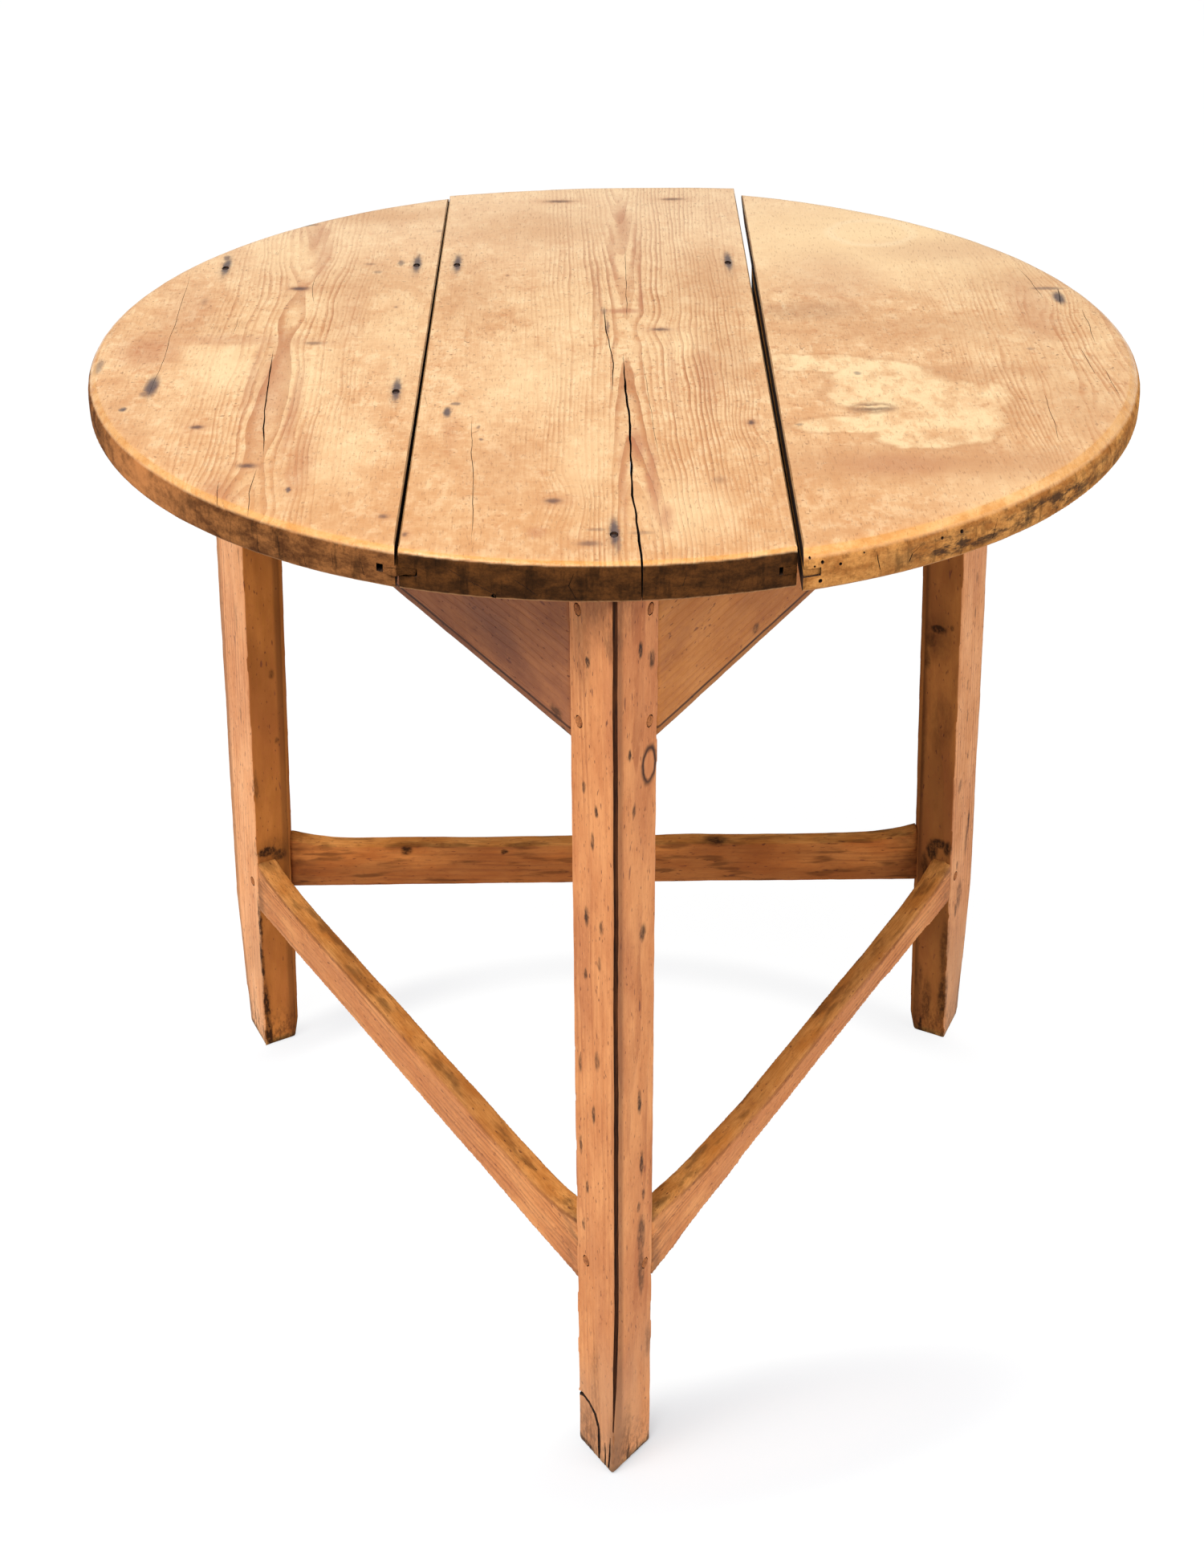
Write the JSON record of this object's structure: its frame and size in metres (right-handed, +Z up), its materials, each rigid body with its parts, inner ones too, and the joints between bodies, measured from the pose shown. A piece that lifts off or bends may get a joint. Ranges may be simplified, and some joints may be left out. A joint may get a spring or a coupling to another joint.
{
  "type": "cricket table",
  "caption": "Round three-legged country table in worn pine, with a boarded top, pegged aprons and foot-worn stretchers.",
  "frame": {"origin": "middle of the table's outline on the floor", "axes": "+Z up, -Y towards the front leg, +X to the right of someone who faces the front leg"},
  "size_m": [0.711, 0.7224, 0.704],
  "materials": {
    "top_wood": "worn waxed pine, satin, with open cracks and dark stains",
    "frame_wood": "aged waxed pine, satin, reddish, rubbed pale at the feet and stretchers",
    "peg_wood": "end grain, darkened",
    "nail_iron": "dark, corroded, dull"
  },
  "bodies": {
    "root": {"apron_left": "frame_wood", "apron_pegs_front": "peg_wood", "apron_pegs_rear_left": "peg_wood", "apron_pegs_rear_right": "peg_wood", "apron_rear": "frame_wood", "apron_right": "frame_wood", "joint_tongue_left": "top_wood", "joint_tongue_right": "top_wood", "leg_front": "frame_wood", "leg_rear_left": "frame_wood", "leg_rear_right": "frame_wood", "stretcher_left": "frame_wood", "stretcher_pegs_front": "peg_wood", "stretcher_pegs_rear_left": "peg_wood", "stretcher_pegs_rear_right": "peg_wood", "stretcher_rear": "frame_wood", "stretcher_right": "frame_wood", "top_board_centre": "top_wood", "top_board_left": "top_wood", "top_board_right": "top_wood", "top_nails_centre": "nail_iron", "top_nails_left": "nail_iron", "top_nails_right": "nail_iron"}
  },
  "joints": []
}
